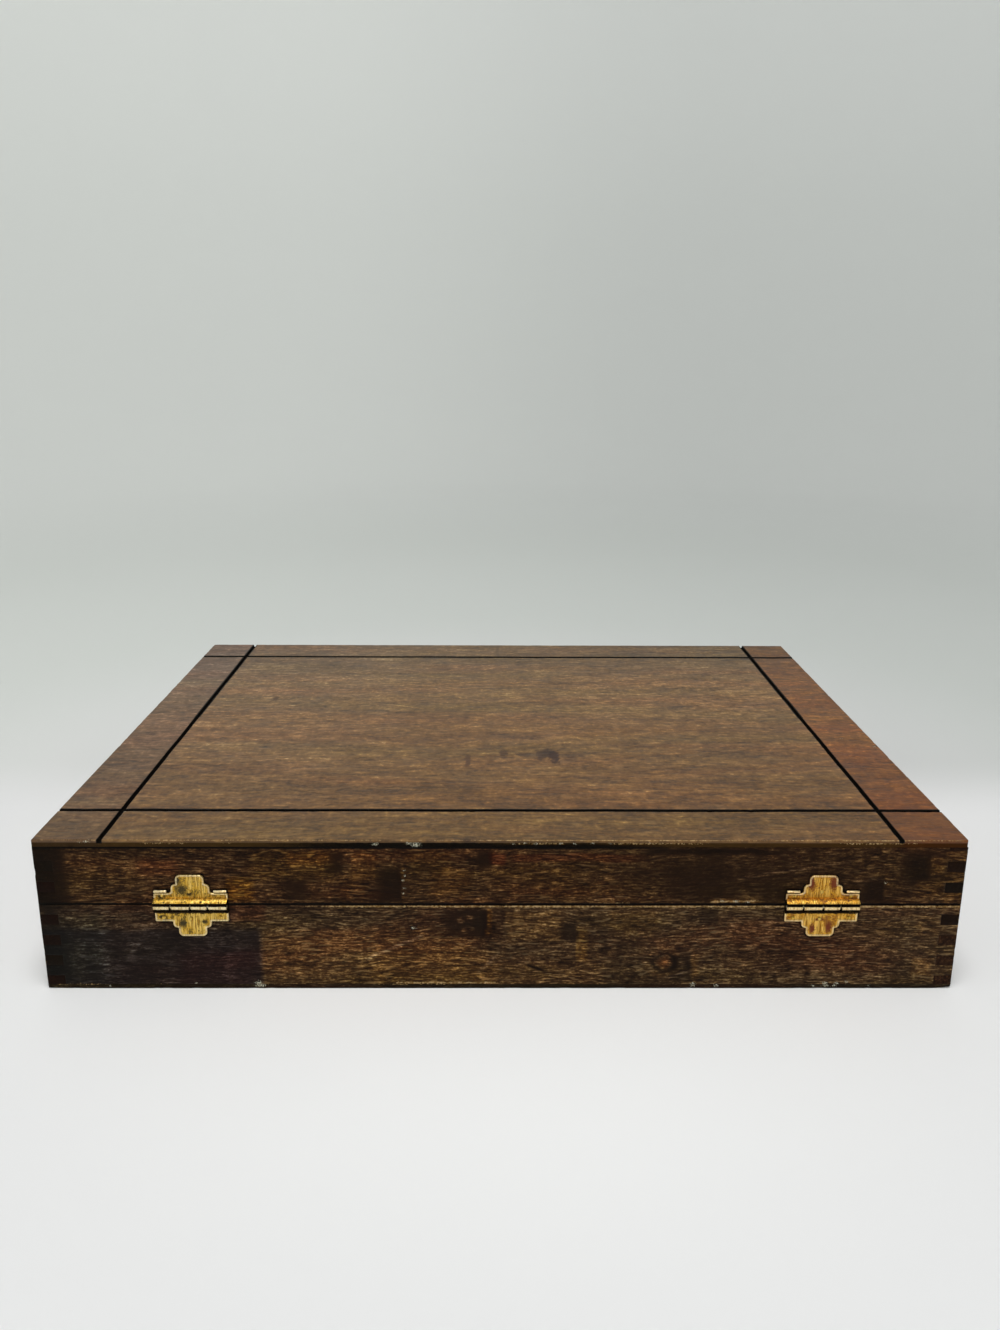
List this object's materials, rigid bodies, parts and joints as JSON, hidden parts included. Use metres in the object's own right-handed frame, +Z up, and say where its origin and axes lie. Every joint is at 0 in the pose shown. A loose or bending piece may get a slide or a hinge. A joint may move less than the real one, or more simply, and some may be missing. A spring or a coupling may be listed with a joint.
{
  "type": "silverware chest",
  "caption": "Shallow finger-jointed wooden flatware chest with a grooved hinged lid, box hinges at the back, a hook clasp in front and cloth-covered racks for flatware and knives.",
  "frame": {"origin": "middle of the underside of the bottom panel", "axes": "+Z up; -Y is the clasp side (front), +Y the hinge side; +X to the right seen from the front"},
  "size_m": [0.381, 0.287, 0.0686],
  "materials": {
    "frame_wood": "dark walnut stain over open grain, satin lacquer, worn edges",
    "top_panel_wood": "brown walnut stain, satin lacquer, dark grooves",
    "bottom_panel_wood": "stained thin sheet, rough edge",
    "hinge_brass": "brushed brass plate, tarnished in blotches",
    "clasp_brass": "polished brass with light tarnish",
    "nail_brass": "small domed brass heads",
    "pin_steel": "dull wire",
    "lining_cloth": "napped cloth glued on card",
    "rack_cloth": "napped cloth wrapped round wooden bars"
  },
  "bodies": {
    "base": {"bottom_panel": "bottom_panel_wood", "base_front_board": "frame_wood", "base_back_board": "frame_wood", "base_left_board": "frame_wood", "base_right_board": "frame_wood", "base_floor_lining": "lining_cloth", "base_front_lining": "lining_cloth", "base_back_lining": "lining_cloth", "base_left_lining": "lining_cloth", "base_right_lining": "lining_cloth", "flatware_rack_front": "rack_cloth", "flatware_rack_rear": "rack_cloth", "hinge_left_lower_leaf": "hinge_brass", "hinge_right_lower_leaf": "hinge_brass", "hinge_left_pin": "pin_steel", "hinge_right_pin": "pin_steel", "hinge_lower_nails": "nail_brass", "clasp_base_plate": "clasp_brass", "clasp_pivot_rivet": "clasp_brass", "clasp_base_nails": "nail_brass"},
    "lid": {"lid_front_board": "frame_wood", "lid_back_board": "frame_wood", "lid_left_board": "frame_wood", "lid_right_board": "frame_wood", "lid_top_panel": "top_panel_wood", "lid_top_lining": "lining_cloth", "lid_front_lining": "lining_cloth", "lid_back_lining": "lining_cloth", "lid_left_lining": "lining_cloth", "lid_right_lining": "lining_cloth", "knife_handle_bar": "rack_cloth", "knife_pocket_spacer": "rack_cloth", "knife_pocket_strip": "rack_cloth", "hinge_left_upper_leaf": "hinge_brass", "hinge_right_upper_leaf": "hinge_brass", "hinge_upper_nails": "nail_brass", "clasp_lid_plate": "clasp_brass", "clasp_stud": "clasp_brass", "clasp_lid_nails": "nail_brass"},
    "clasp_hook": {"clasp_hook": "clasp_brass"}
  },
  "joints": [
    {"name": "lid_hinge", "type": "hinge", "parent": "base", "child": "lid", "pos_m": [0, 0.1416, 0.0395], "axis": [-1, 0, 0], "range_deg": [0, 101.5]},
    {"name": "hook_pivot", "type": "hinge", "parent": "base", "child": "clasp_hook", "pos_m": [0.0013, -0.1414, 0.0296], "axis": [0, -1, 0], "range_deg": [-145, 190]}
  ]
}
